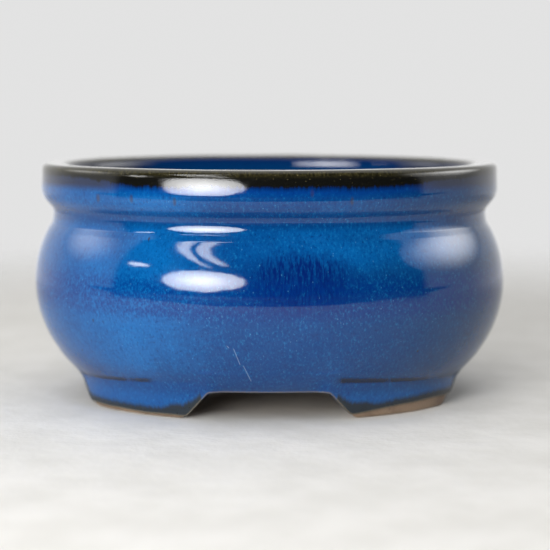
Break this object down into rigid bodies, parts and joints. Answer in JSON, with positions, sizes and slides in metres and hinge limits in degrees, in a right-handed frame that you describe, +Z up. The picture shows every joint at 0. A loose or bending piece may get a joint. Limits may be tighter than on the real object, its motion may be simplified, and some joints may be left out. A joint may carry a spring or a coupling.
{
  "type": "bonsai pot",
  "caption": "Oval glazed stoneware bonsai pot with a round belly, a banded rim and four cut feet, fitted with drain screens and wire clips.",
  "frame": {"origin": "centre of the plane that the four feet stand on", "axes": "+Z up, +X along the pot's length to its right, -Y towards the front face"},
  "size_m": [0.152, 0.12, 0.076],
  "materials": {
    "stoneware": "bare fired stoneware, matte and slightly gritty",
    "blue_glaze": "high gloss, breaking to olive brown on the rim and the feet's edges",
    "mesh_plastic": "matte",
    "clip_wire": "anodised brown, satin"
  },
  "bodies": {
    "root": {"clay_body": "stoneware", "rim_band": "stoneware", "front_left_foot": "stoneware", "front_right_foot": "stoneware", "rear_left_foot": "stoneware", "rear_right_foot": "stoneware", "glaze_coat": "blue_glaze", "left_drain_screen": "mesh_plastic", "right_drain_screen": "mesh_plastic", "left_screen_clip": "clip_wire", "right_screen_clip": "clip_wire"}
  },
  "joints": []
}
